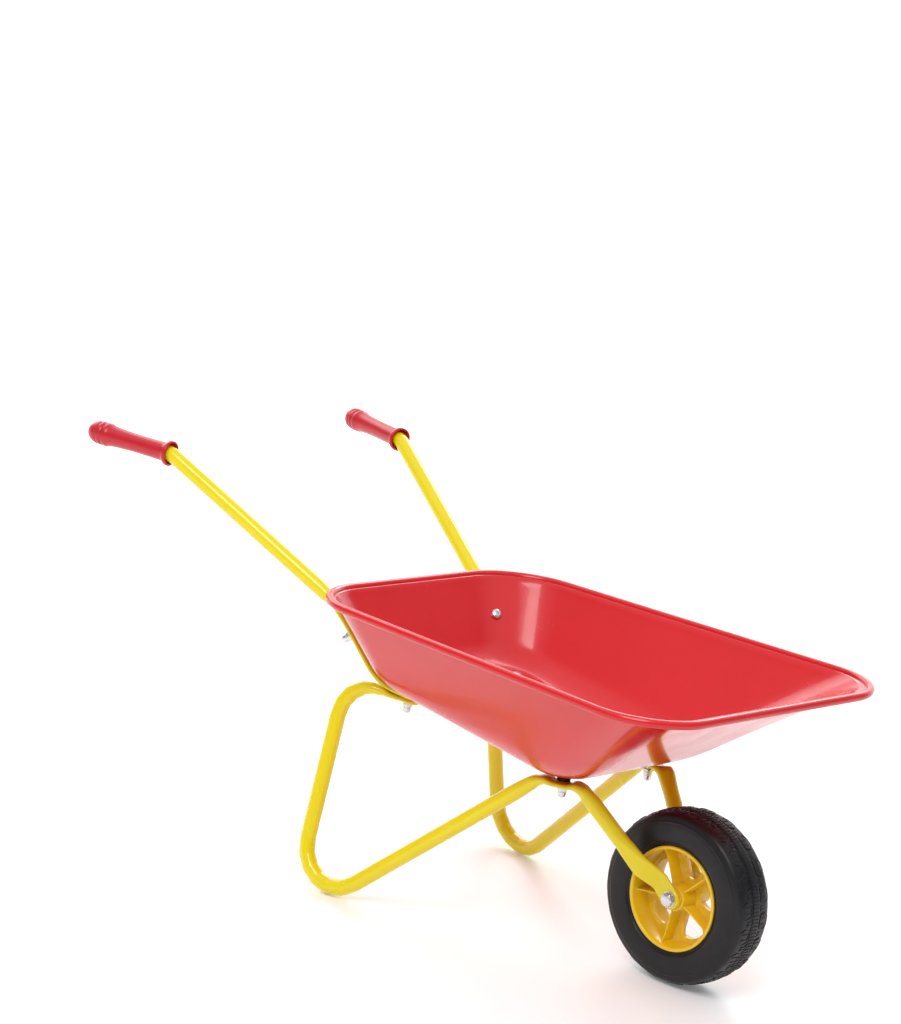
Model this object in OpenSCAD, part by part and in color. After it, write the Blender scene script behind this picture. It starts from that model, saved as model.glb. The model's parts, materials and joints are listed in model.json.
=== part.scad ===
// Child's wheelbarrow: a pressed steel tray on bent tubes, with one moulded wheel.
// X points forward to the wheel, Y to the barrow's left and Z up. The tyre and the
// two leg loops stand on the floor at Z = 0. X and Y start at the middle of its box.
// Every point of the frame is given from the axle's place on the floor.

/* [Wheel] */
// Diameter of the tyre over its tread
wheel_d = 180; // [176:1:184]
// Width of the tyre over its side walls
tyre_w = 53; // [50:1:54]
// Diameter of the rim's two lips
rim_d = 108; // [104:1:110]
// Number of spokes in the rim
spoke_count = 5; // [4:1:7]
// Number of grooves across each half of the tread
tread_count = 20; // [12:1:26]

/* [Frame tubes] */
// Outer diameter of every tube
tube_d = 17; // [16.5:0.25:17.5]
// Wall of every tube
tube_wall = 1.2; // [1:0.1:1.6]
// Thickness of a tube where it is pressed flat
flat_t = 5; // [4.5:0.25:5.5]
// Radius of the bend at the top of a leg
leg_top_r = 42; // [38:1:42]
// Radius of the bend at the foot of a leg
leg_foot_r = 42; // [36:1:46]

/* [Tray] */
// Height of the tray's rim above the floor
rim_z = 314; // [312:1:322]
// Length of the tray over its rolled rim
rim_len = 520; // [514:2:526]
// Width over the rolled rim at the rear end
rim_rear_w = 346; // [340:2:352]
// Width over the rolled rim at the front end
rim_front_w = 411; // [400:2:420]
// Diameter of the rolled rim
roll_d = 9; // [8:0.5:10]
// Thickness of the tray's sheet steel
sheet = 1; // [0.8:0.1:1.2]
// How far the middle of the tray's nose is drawn in between floor and rim
nose_hollow = 5; // [0:1:8]

/* [Grips] */
// Length of a grip
grip_len = 112; // [104:1:120]
// Diameter of a grip where the hand holds it
grip_d = 21; // [20.5:0.5:23]

/* [Fasteners] */
// Thread diameter of the tray's screws
screw_d = 6; // [5:0.5:6]
// Diameter of the wheel's axle bolt
axle_d = 8; // [8:0.5:10]
// Width across the flats of a cap nut on the tray's screws
nut_af = 10; // [9:0.5:11]

/* [Hidden] */
$fn = 64;
gap = 0.1;
red = "#d2232f";
yellow = "#efdc12";
zinc = "#c9ccd0";
black = "#26272b";

// The axle stands this far forward of the middle of the whole barrow.
axle_x = 329.4;
wheel_r = wheel_d / 2;

// Tray, in plan: where the floor's edges would meet the walls if they were sharp.
floor_rear_x = -371;
floor_front_x = -103;
floor_rear_half = 120;
floor_front_half = 103;
floor_rear_z = 225.3;
floor_front_z = 182.8;
floor_rear_r = 46;
floor_front_r = 42;
floor_blend = 31;
wall_blend = 0.25;
// The rim's outline, and the ledge between the wall's top and the roll.
roll_r = roll_d / 2;
roll_in_r = roll_r - sheet;
roll_in = roll_r + roll_in_r;
rim_front_x = 86;
rim_rear_r = 77;
rim_front_r = 68;
ledge = 2;
ledge_front = 9;
top_z = rim_z - roll_r;
floor_slope = (floor_rear_z - floor_front_z) / (floor_front_x - floor_rear_x);
function floor_z(x) = floor_rear_z - floor_slope * (x - floor_rear_x);
function unit(v) = v / norm(v);
function mix(a, b, t) = a + (b - a) * t;

// One ring of a rounded four-sided outline, anticlockwise from the front right corner.
corner_steps = 8;
function arc_at(a, b, c, r) =
    let (u = unit(a - b), v = unit(c - b), half = acos(u * v) / 2)
    let (centre = b + unit(u + v) * r / sin(half), s = b + u * r / tan(half) - centre)
    [for (i = [0 : corner_steps])
        let (turn = (180 - 2 * half) * i / corner_steps)
        centre + [s[0] * cos(turn) - s[1] * sin(turn), s[0] * sin(turn) + s[1] * cos(turn)]];
function outline(x0, x1, w0, w1, r0, r1) =
    let (p = [[x1, -w1], [x1, w1], [x0, w0], [x0, -w0]], r = [r1, r1, r0, r0])
    [for (i = [0 : 3]) each arc_at(p[(i + 3) % 4], p[i], p[(i + 1) % 4], r[i])];

// The rim's ring, moved in by [in] all round and by [in_front] at the nose.
function rim_ring(in, in_front) = outline(
    rim_front_x - rim_len + in, rim_front_x - in_front,
    rim_rear_w / 2 - in, rim_front_w / 2 - in,
    rim_rear_r + roll_in - in, rim_front_r + roll_in - in);
floor_ring = outline(floor_rear_x, floor_front_x, floor_rear_half, floor_front_half,
    floor_rear_r, floor_front_r);
function floor_ring_in(off) = outline(floor_rear_x + off, floor_front_x - off,
    floor_rear_half - off, floor_front_half - off,
    floor_rear_r - off * 0.7, floor_front_r - off * 0.7);
wall_top_ring = rim_ring(roll_in + ledge, roll_in + ledge_front);

// A ring of points at the share t up the wall, moved in by off and up by lift.
function on_floor(ring, lift) = [for (p = ring) [p[0], p[1], floor_z(p[0]) + lift]];
function level(ring, z) = [for (p = ring) [p[0], p[1], z]];
wall_foot = on_floor(floor_ring, 0);
wall_top = level(wall_top_ring, top_z - 1);
function hollow(p, t) = nose_hollow * 4 * t * (1 - t)
    * max(0, (p[0] - floor_front_x + 60) / (rim_front_x - floor_front_x));
function wall_ring(t, in) = [
    for (i = [0 : len(wall_foot) - 1])
        let (p = mix(wall_foot[i], wall_top[i], t), v = unit([p[0] + 200, p[1], 0]))
        p - [hollow(p, t), 0, 0] - v * in
];
function blend_ring(s, in, lift) =
    let (a = on_floor(floor_ring_in(floor_blend), lift), b = on_floor(floor_ring_in(in), lift))
    let (c = wall_ring(wall_blend, in))
    [for (i = [0 : len(a) - 1])
        a[i] * pow(1 - s, 2) + b[i] * 2 * s * (1 - s) + c[i] * s * s];
function roll_ring(r, a) = level(rim_ring(roll_r - r * cos(a), roll_r - r * cos(a)),
    top_z + r * sin(a));

// The rings run out over the floor's underside, up the wall, round the roll and back.
sheet_in = sheet * 1.15;
tray_rings = concat(
    [for (i = [0 : 5]) blend_ring(i / 5, 0, 0)],
    [for (t = [0.5, 0.75]) wall_ring(t, 0)],
    [wall_top],
    [for (a = [180 : -40 : -60]) roll_ring(roll_in_r, a)],
    [for (a = [-60 : 30 : 180]) roll_ring(roll_r, a)],
    [level(rim_ring(roll_in + ledge + sheet_in, roll_in + ledge_front + sheet_in), top_z)],
    [for (t = [0.75, 0.5]) wall_ring(t, sheet_in)],
    [for (i = [5 : -1 : 0]) blend_ring(i / 5, sheet_in * i / 5, sheet)]
);

// A point on the wall's outside at the share t of its height, in its rear left corner.
function wall_point(t, y) =
    let (ring = wall_ring(t, 0), n = corner_steps)
    let (arc = [for (i = [0 : n]) ring[2 * (n + 1) + i]])
    [lookup(y, [for (p = arc) [p[1], p[0]]]), y, lookup(y, [for (p = arc) [p[1], p[2]]])];
function wall_normal(t, y) = unit(cross(
    wall_point(t + 0.02, y) - wall_point(t - 0.02, y),
    wall_point(t, y + 12) - wall_point(t, y - 12)));

// Screw places, on the outside of the tray's sheet, and the way each screw points.
floor_dir = unit([1, 0, -floor_slope]);
floor_down = unit([-floor_slope, 0, -1]);
rear_screw = wall_point(0.553, 107.6);
wall_out = wall_normal(0.553, 107.6);
mid_screw = [-333, 84, floor_z(-333)];
front_screw = [-124, 69, floor_z(-124) + 0.9];
front_out = [0, 0, -1];
screw_hole_r = screw_d / 2 + 0.2;
wall_spacer_t = 3.5;
floor_spacer_t = 3;

// Handle: the straight part ends at the knee, under the tray's rim.
handle_knee = [-427, 115.3, 294.5];
handle_mouth = [-639, 180, 412];
mouth_bend_r = 30;
grip_yaw = 12;
grip_rise = 2;
grip_dir = [
    -cos(grip_yaw) * cos(grip_rise), sin(grip_yaw) * cos(grip_rise), sin(grip_rise)
];

// Leg: the corners of the tube's centre line before the bends are rounded.
leg_top = [-400, 109.5, 245.4];
leg_foot = [-386.7, 169.7, -41.55 + (tube_d - 17) / 2];
pinch_rear = [-136.5, 82.5, 188];
pinch_front = [-105.9, 70.4, 188];
fork_wide = [-34, 38.6, 115.5];
fork_jog_x = -17;
fork_jog_z = 104;

// Axle stack, from the middle out: hub, hub washer, fork end, steel washer, head.
sleeve_r = 7;
hub_half = 21;
hub_washer_t = 1.5;
fork_in_y = hub_half + hub_washer_t + 0.8;
fork_out_y = fork_in_y + flat_t;
axle_washer_t = 1.2;
fork_tip_r = 11;

// ---------- tray ----------

// A solid through closed rings of n points, each next ring along the way they turn.
module ring_solid(rings) {
    n = len(rings[0]);
    last = len(rings) - 1;
    polyhedron(
        points = [for (ring = rings) each ring],
        faces = concat(
            [[for (i = [0 : n - 1]) i]],
            [for (j = [0 : last - 1], i = [0 : n - 1])
                let (k = (i + 1) % n)
                [j * n + i, (j + 1) * n + i, (j + 1) * n + k]],
            [for (j = [0 : last - 1], i = [0 : n - 1])
                let (k = (i + 1) % n)
                [j * n + i, (j + 1) * n + k, j * n + k]],
            [[for (i = [n - 1 : -1 : 0]) last * n + i]]
        )
    );
}

// ---------- placing ----------

// Puts the children at p with their Z along dir and their Y as near to up as it goes.
module place(p, dir, up) {
    z = unit(dir);
    x = unit(cross(up, z));
    y = cross(z, x);
    multmatrix([
        [x[0], y[0], z[0], p[0]],
        [x[1], y[1], z[1], p[1]],
        [x[2], y[2], z[2], p[2]],
        [0, 0, 0, 1]
    ]) children();
}

module from_axle() {
    translate([axle_x, 0, 0]) children();
}

// The second of a pair is the first one mirrored to the barrow's right.
module both_sides() {
    children();
    mirror([0, 1, 0]) children();
}

module hole(p, axis, r) {
    place(p, axis, [1, 0, 0]) cylinder(r = r, h = 40, center = true);
}

// ---------- tubes ----------

// A path through corners with each inner corner rounded to its own radius.
bend_steps = 6;
outer_sides = 16;
inner_sides = 8;
function bend_point(a, b, c, r, t) =
    let (u = unit(a - b), v = unit(c - b), half = acos(u * v) / 2)
    let (m = b + unit(u + v) * r / sin(half), s = b + u * r / tan(half) - m)
    let (turn = (180 - 2 * half) * t)
    m + s * cos(turn) - u * r * sin(turn);
function rounded(c, r) = concat(
    [c[0]],
    [for (k = [1 : len(c) - 2], i = [0 : bend_steps])
        bend_point(c[k - 1], c[k], c[k + 1], r[k - 1], i / bend_steps)],
    [c[len(c) - 1]]
);
// How far along the path each of its points is.
function lengths(p) = [
    for (i = 0, s = 0; i < len(p); i = i + 1, s = i < len(p) ? s + norm(p[i] - p[i - 1]) : s) s
];
// The place of the first or last point of bend k in a rounded path.
function bend_first(k) = 1 + k * (bend_steps + 1);
function bend_last(k) = (k + 1) * (bend_steps + 1);
function spread(a, b, n) = [for (i = [1 : n]) mix(a, b, i / (n + 1))];
function at(p, l, s) = [
    for (k = [0 : 2]) lookup(s, [for (i = [0 : len(p) - 1]) [l[i], p[i][k]]])
];
function vector_at(table, s) = [
    for (k = [0 : 2]) lookup(s, [for (row = table) [row[0], row[1][k]]])
];
// Half the width of a round tube after it is pressed to the half thickness b.
function pressed(b) = b + PI / 2 * (tube_d / 2 - b);
// The ring across a tube: s along the path, thickness from its table, width to match,
// less the wall for the inside. Near a tip the width closes to a half circle. Where
// only one side of a bend is pressed, the middle sinks towards the other side.
function tube_ring(p, l, s, thick, ups, sinks, tips, cut, n) =
    let (dir = unit(at(p, l, s + 0.5) - at(p, l, s - 0.5)), rough = vector_at(ups, s))
    let (up = unit(rough - dir * (rough * dir)), side = cross(up, dir))
    let (b = lookup(s, thick) / 2, wide = min(pressed(b), lookup(s, tips)))
    let (from_tip = min(s, wide), full = sqrt(pow(wide, 2) - pow(wide - from_tip, 2)))
    let (h = b - cut, w = max(full, b) - cut, f = cos(180 / n))
    let (c = at(p, l, s) - up * lookup(s, sinks))
    [for (k = [0 : n - 1])
        let (a = 360 * (k + 0.5) / n)
        c + side * (h * cos(a) / f + sign(cos(a)) * (w - h)) + up * (h * sin(a) / f)];

// Handle, from the tip under the floor to the end inside the grip.
wall_stack = wall_spacer_t + 3 * gap;
handle_wall = rear_screw + wall_out * (wall_stack + gap + flat_t / 2);
handle_floor = mid_screw + floor_down * (gap + flat_t / 2);
flat_half = pressed(flat_t / 2);
floor_side = unit([-floor_dir[0], 0.3, -floor_dir[2]]);
handle_wrap = [-368.6, 94.8, floor_z(-368.6) - 2.6];
wall_side = unit(handle_wrap - handle_wall);
handle_top = handle_wall - wall_side * 12;
grip_end = handle_mouth + grip_dir * (grip_len - 8);
handle_path = rounded(
    [handle_floor - floor_side * flat_half, handle_wrap, handle_top, handle_knee,
        handle_mouth, grip_end],
    [50, 24, 26, mouth_bend_r]);
handle_len = lengths(handle_path);
handle_end = handle_len[len(handle_len) - 1];
handle_s = concat(
    [0.15, 1.2, 3, 6, 9, flat_half],
    [for (i = [bend_first(0) : bend_last(0)]) handle_len[i]],
    spread(handle_len[bend_last(0)], handle_len[bend_first(1)], 2),
    [for (i = [bend_first(1) : bend_last(2)]) handle_len[i]],
    [for (d = [6, 12, 18, 26]) handle_len[bend_last(2)] + d],
    [for (i = [bend_first(3) : bend_last(3)]) handle_len[i]]
);
handle_thick = [
    [handle_len[bend_first(1)], flat_t],
    [handle_len[bend_last(1)], flat_t * 1.5],
    [handle_len[bend_first(2)], flat_t * 1.7],
    [handle_len[bend_last(2)], flat_t * 2.4],
    [handle_len[bend_last(2)] + 12, tube_d * 0.93],
    [handle_len[bend_last(2)] + 26, tube_d]
];
handle_ups = [
    [flat_half, floor_down],
    [handle_len[bend_last(0)], wall_out],
    [handle_len[bend_last(1)], wall_out]
];
no_tips = [[0, tube_d]];
no_sinks = [[0, 0]];

module handle_tube() {
    difference() {
        ring_solid([for (s = concat(handle_s, [handle_end - 1]))
            tube_ring(handle_path, handle_len, s, handle_thick, handle_ups, no_sinks, no_tips,
                0, outer_sides)]);
        ring_solid([for (s = concat(handle_s, [handle_end])) if (s > 5)
            tube_ring(handle_path, handle_len, s, handle_thick, handle_ups, no_sinks, no_tips,
                tube_wall, inner_sides)]);
        hole(handle_wall, wall_out, screw_hole_r);
        hole(handle_floor, floor_down, screw_hole_r);
    }
}

// Leg and fork: one tube from the rear floor screw to the axle.
leg_mid = mid_screw + floor_down * (4 * gap + 1.5 * flat_t);
leg_pinch = front_screw + front_out * (3 * gap + floor_spacer_t + flat_t / 2);
fork_y = fork_in_y + flat_t / 2;
fork_jog = [fork_jog_x, fork_y, fork_jog_z];
fork_eye = [0, fork_y, wheel_d / 2];
fork_end = fork_eye + unit(fork_eye - fork_jog) * fork_tip_r;
leg_path = rounded(
    [leg_mid - floor_side * flat_half, leg_mid + floor_side * 9, leg_top, leg_foot,
        pinch_rear, pinch_front, fork_wide, fork_jog, fork_end],
    [8, leg_top_r, leg_foot_r, 18, 15, 20, 8]);
leg_len = lengths(leg_path);
leg_end = leg_len[len(leg_len) - 1];
pinch_a = leg_len[bend_first(3)];
pinch_b = leg_len[bend_last(4)];
fork_flat = leg_len[bend_first(5)];
pinch_mid = pinch_a + norm(leg_pinch - leg_path[bend_first(3)]);
pinch_sink = (at(leg_path, leg_len, pinch_mid) - leg_pinch) * front_out;
leg_s = concat(
    [0.15, 1.2, 3, 6, 9, flat_half, flat_half + 6.5],
    [for (i = [bend_first(0), bend_last(0)]) leg_len[i]],
    [for (i = [bend_first(1) : bend_last(2)]) leg_len[i]],
    [for (d = [30, 22, 14, 7]) pinch_a - d],
    [for (i = [bend_first(3) : bend_last(3)]) leg_len[i]],
    [for (d = [-6, 0, 8]) pinch_mid + d],
    [for (i = [bend_first(4) : bend_last(4)]) leg_len[i]],
    [for (d = [6, 12, 18, 26]) pinch_b + d],
    [for (d = [34, 26, 18, 10]) fork_flat - d],
    [for (i = [bend_first(5) : bend_last(6)]) leg_len[i]],
    [for (d = [fork_tip_r, 8, 5, 3, 1.2, 0.15]) leg_end - d]
);
leg_thick = [
    [leg_len[bend_last(0)], flat_t],
    [leg_len[bend_first(1)] + 10, flat_t * 1.24],
    [leg_len[bend_first(1)] + 24, tube_d * 0.66],
    [leg_len[bend_first(1)] + 38, tube_d * 0.84],
    [leg_len[bend_first(1)] + 56, tube_d],
    [pinch_a - 30, tube_d],
    [pinch_a - 12, tube_d * 0.85],
    [pinch_a, tube_d * 0.6],
    [pinch_mid - 8, flat_t],
    [pinch_mid + 8, flat_t],
    [pinch_b, tube_d * 0.6],
    [pinch_b + 6, tube_d * 0.75],
    [pinch_b + 18, tube_d * 0.92],
    [pinch_b + 26, tube_d],
    [fork_flat - 34, tube_d],
    [fork_flat - 18, tube_d * 0.75],
    [fork_flat, flat_t * 1.2],
    [leg_len[bend_last(5)], flat_t]
];
leg_ups = [
    [leg_len[bend_last(0)], -floor_down],
    [leg_len[bend_last(1)], [-1, 0, 0]],
    [leg_len[bend_first(2)], [-1, 0, 0]],
    [leg_len[bend_last(2)], [0.65, 0, -0.71]],
    [leg_len[bend_last(3)], front_out],
    [leg_len[bend_first(4)], front_out],
    [pinch_b, front_out],
    [fork_flat - 34, [-0.3, 0.8, -0.3]],
    [fork_flat - 18, [0, 1, 0]]
];
leg_sinks = [
    [flat_half + 6.5, 0],
    [leg_len[bend_last(0)], 1.6],
    [leg_len[bend_first(1)] + 10, 4.9],
    [leg_len[bend_first(1)] + 24, 4.5],
    [leg_len[bend_first(1)] + 38, 2],
    [leg_len[bend_first(1)] + 56, 0],
    [pinch_a - 8, 0],
    [pinch_mid - 8, pinch_sink],
    [pinch_mid + 8, pinch_sink],
    [pinch_b + 5, 0]
];
leg_tips = [
    [pinch_a - 8, 20], [pinch_mid - 8, 10], [pinch_mid + 8, 10], [pinch_b + 5, 20],
    [fork_flat, 20], [leg_len[bend_last(5)], flat_half],
    [leg_len[bend_last(6)], fork_tip_r], [leg_end - fork_tip_r, fork_tip_r],
    for (d = [10, 8, 6, 5, 4, 3, 2, 1.2, 0.6, 0.15])
        [leg_end - d, sqrt(pow(fork_tip_r, 2) - pow(fork_tip_r - d, 2))]
];

module leg_tube() {
    difference() {
        ring_solid([for (s = leg_s)
            tube_ring(leg_path, leg_len, s, leg_thick, leg_ups, leg_sinks, leg_tips,
                0, outer_sides)]);
        ring_solid([for (s = leg_s) if (s > 5 && s < leg_end - 4)
            tube_ring(leg_path, leg_len, s, leg_thick, leg_ups, leg_sinks, leg_tips,
                tube_wall, inner_sides)]);
        hole(leg_mid, floor_down, screw_hole_r);
        hole(leg_pinch, front_out, screw_hole_r);
        hole(fork_eye, [0, 1, 0], axle_d / 2 + 0.15);
    }
}

// ---------- grips ----------

grip_r = grip_d / 2;
grip_bore_r = tube_d / 2 / cos(180 / outer_sides) + gap;
flange_r = 14;
knob_r = 13;

module grip() {
    place(handle_mouth, grip_dir, [0, 0, 1]) difference() {
        rotate_extrude() polygon([
            [0, 4], [flange_r - 2, 0], [flange_r, 1.5], [flange_r, 3.5], [grip_r, 8],
            [grip_r, 60], [grip_r + 0.5, 78], [knob_r - 1, 84], [knob_r, 86],
            [knob_r, 89], [knob_r - 1, 90.5], [knob_r, 92], [knob_r, 95],
            [knob_r - 1, 96.5], [knob_r - 0.3, 98], [knob_r - 0.8, grip_len - 10],
            [knob_r - 3.5, grip_len - 4], [knob_r - 8, grip_len - 0.8], [0, grip_len]
        ]);
        translate([0, 0, -20]) cylinder(r = grip_bore_r, h = grip_len + 14.5);
        cylinder(r1 = grip_bore_r + 3.2, r2 = grip_bore_r, h = 12);
    }
}

// ---------- tray screws, washers, nuts ----------

head_r = screw_d;
head_h = 3.6;
washer_t = 1.2;
screw_out = 20;
nut_hex = 5;
nut_h = 12;

// A pan head screw whose head sits on the children's Z = 0 and whose shank goes up.
module pan_screw(shank) {
    difference() {
        union() {
            rotate_extrude() polygon([
                [0, -head_h], [head_r * 0.55, -head_h + 0.3], [head_r * 0.85, -head_h + 1.2],
                [head_r, -1], [head_r, 0], [0, 0]
            ]);
            cylinder(d = screw_d, h = shank);
        }
        for (a = [0, 90])
            rotate([0, 0, a])
                translate([-2.4, -0.5, -head_h - 1]) cube([4.8, 1, 2.6]);
    }
}

module cap_nut(af, bore_r, hex_h, h) {
    r = af / 2;
    difference() {
        union() {
            cylinder(r = af / sqrt(3), h = hex_h, $fn = 6);
            rotate_extrude() polygon([
                [0, 0], [r * 0.92, 0], [r * 0.92, hex_h + 0.4], [r * 0.88, h * 0.72],
                [r * 0.7, h * 0.88], [r * 0.38, h * 0.97], [0, h]
            ]);
        }
        translate([0, 0, -1]) cylinder(r = bore_r, h = h - 1);
    }
}

module washer(r_out, r_in, t) {
    difference() {
        cylinder(r = r_out, h = t);
        translate([0, 0, -1]) cylinder(r = r_in, h = t + 2);
    }
}

rear_stack = wall_stack + 4 * gap + flat_t;
mid_stack = 4 * gap + 2 * flat_t;
front_stack = 4 * gap + floor_spacer_t + flat_t;

// The screw's head stands clear of the sheet by this much more where the floor curves up.
front_clear = 1;

module screw_at(p, out, stack, clear) {
    start = sheet + 0.55 + clear;
    place(p - out * start, out, [1, 0, 0])
        pan_screw(start + stack + gap + washer_t + nut_h - 2.2);
}

module washer_at(p, out, stack) {
    place(p + out * (stack + gap), out, [1, 0, 0])
        washer(screw_d * 0.98, screw_d / 2 + 0.15, washer_t);
}

module cap_nut_at(p, out, stack) {
    place(p + out * (stack + gap + washer_t), out, [1, 0, 0])
        cap_nut(nut_af, screw_d / 2 + 0.05, nut_hex, nut_h);
}

// ---------- wheel ----------

// Turns a shape made about Z so that it lies about the axle.
module on_axle() {
    translate([axle_x, 0, wheel_r]) rotate([-90, 0, 0]) children();
}

barrel_r = rim_d / 2 - 2;
barrel_wall = 2.5;
barrel_half = tyre_w / 2 - 1.5;
hub_r = 13;
web_t = 4;
rib_t = 2.4;
rib_half = 17;

module rim_shell() {
    r = barrel_r;
    h = barrel_half;
    rotate_extrude() polygon([
        [r - barrel_wall, -h + 1], [r - barrel_wall + 1, -h], [r + 1, -h - 0.6],
        [rim_d / 2, -h], [rim_d / 2, -h + 2], [r, -h + 2.6], [r, h - 2.6],
        [rim_d / 2, h - 2], [rim_d / 2, h], [r + 1, h + 0.6],
        [r - barrel_wall + 1, h], [r - barrel_wall, h - 1]
    ]);
}

module spokes() {
    linear_extrude(web_t, center = true) difference() {
        circle(r = barrel_r - 1);
        for (i = [0 : spoke_count - 1])
            rotate(360 / spoke_count * (i + 0.5)) polygon([
                [20, -5], [30, -9.5], [40, -13.5], [43.5, -7], [44.5, 0],
                [43.5, 7], [40, 13.5], [30, 9.5], [20, 5]
            ]);
    }
    for (i = [0 : spoke_count - 1])
        rotate([0, 0, 360 / spoke_count * i])
            translate([hub_r - 1, -rib_t / 2, -rib_half])
                cube([barrel_r - hub_r - 0.5, rib_t, 2 * rib_half]);
}

first_spoke = 44;

module rim_body() {
    difference() {
        union() {
            rim_shell();
            rotate([0, 0, -first_spoke]) spokes();
            cylinder(r = hub_r, h = 2 * hub_half, center = true);
        }
        cylinder(r = sleeve_r + 0.08, h = 60, center = true);
    }
}

// Half of the tyre's section from its seat on the rim out to the middle of the tread.
tyre_half = tyre_w / 2;
tyre_seat_r = rim_d / 2 + 0.2;
skin = 2.6;
function tyre_section(w, seat, top) = [
    [seat, w - 2.6], [seat + 1.5, w - 1.4], [seat + 5, w - 0.6], [seat + 11, w],
    [seat + 20, w - 0.3], [top - 10, w - 1.2], [top - 6, w - 2.4], [top - 3, w - 4.6],
    [top - 1.4, w - 8], [top - 0.6, w - 12], [top - 0.3, 4.2], [top, 3.6]
];
function mirrored(points) =
    concat(points, [for (i = [len(points) - 1 : -1 : 0]) [points[i][0], -points[i][1]]]);

module tyre_body() {
    groove_w = 3.2;
    groove_depth = 1.5;
    difference() {
        rotate_extrude() difference() {
            polygon(mirrored(tyre_section(tyre_half, tyre_seat_r, wheel_r)));
            polygon(mirrored(
                tyre_section(tyre_half - skin, tyre_seat_r + skin, wheel_r - skin - 0.6)));
        }
        for (i = [0 : tread_count - 1], s = [0, 1])
            rotate([0, 0, 360 / tread_count * (i + s / 2)])
                translate([wheel_r - groove_depth, -groove_w / 2, s == 0 ? 5 : 5 - tyre_half])
                    cube([5, groove_w, tyre_half - 10]);
    }
}

// ---------- nodes ----------

module tray() {
    color(red) from_axle() difference() {
        ring_solid(tray_rings);
        both_sides() {
            hole(rear_screw, wall_out, screw_hole_r);
            hole(mid_screw, floor_down, screw_hole_r);
            hole(front_screw, front_out, screw_hole_r);
        }
    }
}

module handle_tube_left() {
    color(yellow) from_axle() handle_tube();
}

module handle_tube_right() {
    color(yellow) from_axle() mirror([0, 1, 0]) handle_tube();
}

module leg_tube_left() {
    color(yellow) from_axle() leg_tube();
}

module leg_tube_right() {
    color(yellow) from_axle() mirror([0, 1, 0]) leg_tube();
}

module grip_left() {
    color(red) from_axle() grip();
}

module grip_right() {
    color(red) from_axle() mirror([0, 1, 0]) grip();
}

module screws_rear_wall() {
    color(zinc) from_axle() both_sides() screw_at(rear_screw, wall_out, rear_stack, 0);
}

module screws_floor_rear() {
    color(zinc) from_axle() both_sides() screw_at(mid_screw, floor_down, mid_stack, 0);
}

module screws_floor_front() {
    color(zinc) from_axle() both_sides()
        screw_at(front_screw, front_out, front_stack, front_clear);
}

module washers_rear_wall() {
    color(zinc) from_axle() both_sides() washer_at(rear_screw, wall_out, rear_stack);
}

module washers_floor_rear() {
    color(zinc) from_axle() both_sides() washer_at(mid_screw, floor_down, mid_stack);
}

module washers_floor_front() {
    color(zinc) from_axle() both_sides() washer_at(front_screw, front_out, front_stack);
}

module cap_nuts_rear_wall() {
    color(zinc) from_axle() both_sides() cap_nut_at(rear_screw, wall_out, rear_stack);
}

module cap_nuts_floor_rear() {
    color(zinc) from_axle() both_sides() cap_nut_at(mid_screw, floor_down, mid_stack);
}

module cap_nuts_floor_front() {
    color(zinc) from_axle() both_sides() cap_nut_at(front_screw, front_out, front_stack);
}

module floor_spacers() {
    color(black) from_axle() both_sides()
        place(front_screw + front_out * 2 * gap, front_out, [1, 0, 0])
            washer(7, screw_d / 2 + 0.2, floor_spacer_t);
}

module wall_spacers() {
    color(black) from_axle() both_sides()
        place(rear_screw + wall_out * 2 * gap, wall_out, [1, 0, 0])
            washer(7, screw_d / 2 + 0.2, wall_spacer_t);
}

axle_head_y = fork_out_y + gap + axle_washer_t;
axle_af = 13;

module axle_bolt() {
    color(zinc) on_axle() {
        translate([0, 0, -axle_head_y - 5.5])
            cylinder(r = axle_af / sqrt(3), h = 5.5, $fn = 6);
        translate([0, 0, -axle_head_y]) cylinder(d = axle_d, h = 2 * axle_head_y + 8.5);
    }
}

module axle_cap_nut() {
    color(zinc) on_axle() translate([0, 0, axle_head_y])
        cap_nut(axle_af, axle_d / 2 + 0.05, 6.5, 13.5);
}

module axle_washers() {
    color(zinc) on_axle() {
        translate([0, 0, fork_out_y + gap / 2])
            washer(8.5, axle_d / 2 + 0.2, axle_washer_t);
        translate([0, 0, -fork_out_y - gap / 2 - axle_washer_t])
            washer(8.5, axle_d / 2 + 0.2, axle_washer_t);
    }
}

module axle_sleeve() {
    color(zinc) on_axle() difference() {
        cylinder(r = sleeve_r, h = 2 * fork_in_y - gap, center = true);
        cylinder(r = axle_d / 2 + 0.1, h = 2 * fork_in_y + 2, center = true);
    }
}

module hub_washers() {
    color(black) on_axle() {
        for (s = [-1, 1])
            translate([0, 0, s * (fork_in_y - hub_washer_t / 2 - gap / 2) - hub_washer_t / 2])
                washer(11, sleeve_r + 0.1, hub_washer_t);
    }
}

module wheel_rim() {
    color("#f2bd10") on_axle() rim_body();
}

module tyre() {
    color(black) on_axle() tyre_body();
}

tray();
handle_tube_left();
handle_tube_right();
leg_tube_left();
leg_tube_right();
grip_left();
grip_right();
screws_rear_wall();
screws_floor_rear();
screws_floor_front();
washers_rear_wall();
washers_floor_rear();
washers_floor_front();
cap_nuts_rear_wall();
cap_nuts_floor_rear();
cap_nuts_floor_front();
floor_spacers();
wall_spacers();
axle_bolt();
axle_cap_nut();
axle_washers();
axle_sleeve();
hub_washers();
wheel_rim();
tyre();
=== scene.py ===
"""A child's wheelbarrow: red pressed-steel tray, yellow tube frame, one moulded wheel."""
import json
import math

import bmesh
import bpy
import numpy as np
from mathutils import Matrix, Vector


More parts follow.
